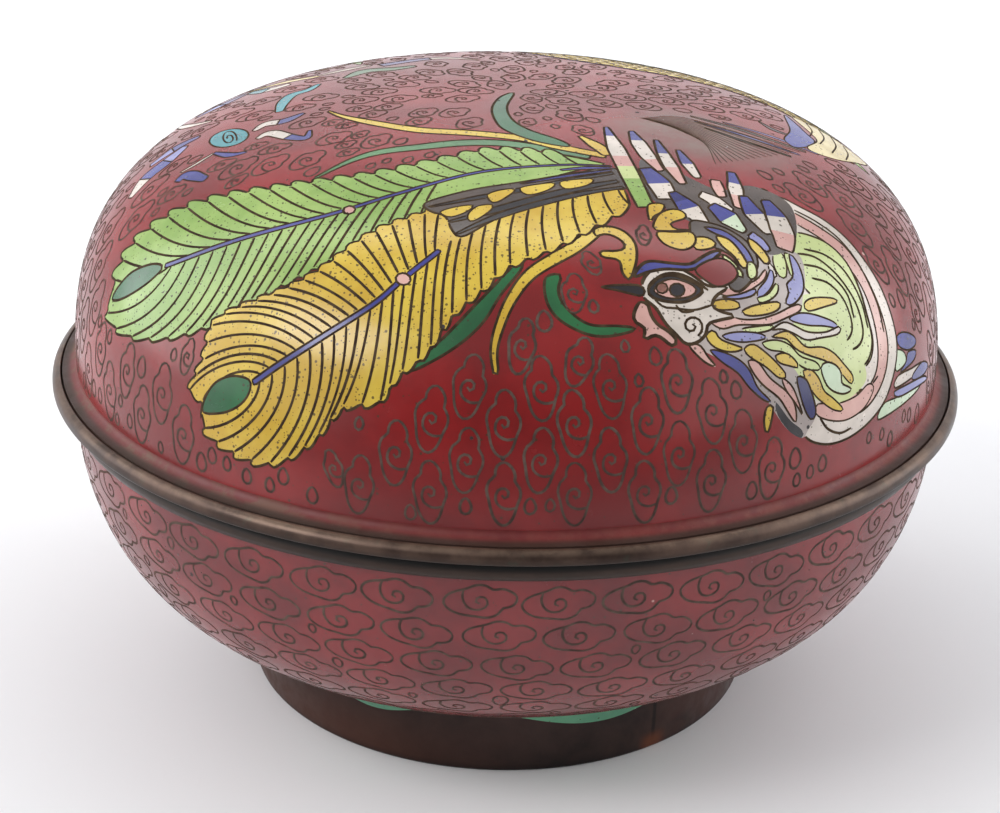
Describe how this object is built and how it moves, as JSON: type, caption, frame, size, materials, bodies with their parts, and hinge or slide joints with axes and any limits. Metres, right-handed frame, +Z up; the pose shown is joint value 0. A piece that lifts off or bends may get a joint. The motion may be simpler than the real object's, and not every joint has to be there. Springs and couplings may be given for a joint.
{
  "type": "cloisonne covered box",
  "caption": "Round covered box of enamelled copper: a squat bowl on a low foot ring, and a domed lid with a copper lip that lifts off. Hollow and empty.",
  "frame": {"origin": "on the floor, at the centre of the underside of the foot ring", "axes": "+Z up, along the axis that every piece is turned round. -Y is the side that faces the picture's camera"},
  "size_m": [0.16, 0.16, 0.107],
  "materials": {
    "lid_enamel": "fired red enamel with brown copper wires and a coloured phoenix, polished, with pits",
    "bowl_enamel": "fired red enamel with brown copper wires in cloud scrolls, polished, with pits",
    "copper_rims": "old copper, brown, rubbed on its edge",
    "copper_foot": "dark brown copper, dull"
  },
  "bodies": {
    "root": {"lid_shell": "lid_enamel", "lid_rim": "copper_rims", "bowl_shell": "bowl_enamel", "bowl_rim": "copper_rims", "foot_ring": "copper_foot"}
  },
  "joints": []
}
